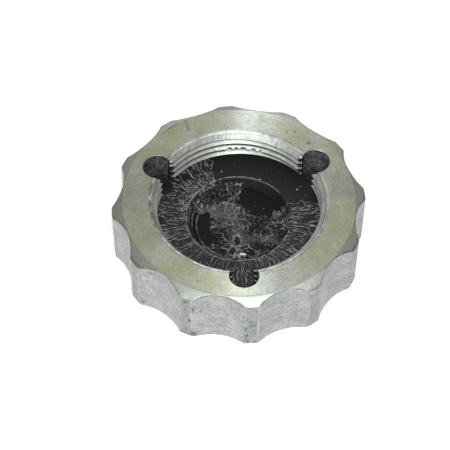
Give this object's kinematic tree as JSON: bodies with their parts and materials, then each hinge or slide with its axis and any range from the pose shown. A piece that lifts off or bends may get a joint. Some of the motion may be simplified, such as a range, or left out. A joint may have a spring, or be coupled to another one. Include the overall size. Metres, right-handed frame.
{
  "type": "filler cap",
  "caption": "Lobed cast screw cap with a threaded mouth, round vent notches through the thread and a flat rubber sealing ring on a seat inside.",
  "frame": {"origin": "centre of the flat closed face, which the cap rests on", "axes": "+Z along the cap's axis, from the closed face out of the threaded mouth; +X to the right and +Y away from the viewer of the picture"},
  "size_m": [0.0878, 0.0878, 0.0248],
  "materials": {
    "cap_body": "as-cast outside with fine pits, turned rim face and thread, black rough cored surfaces inside",
    "sealing_ring": "matt black, with a pale crinkled bloom over most of its top"
  },
  "bodies": {
    "root": {"cap_body": "cap_body", "sealing_ring": "sealing_ring"}
  },
  "joints": []
}
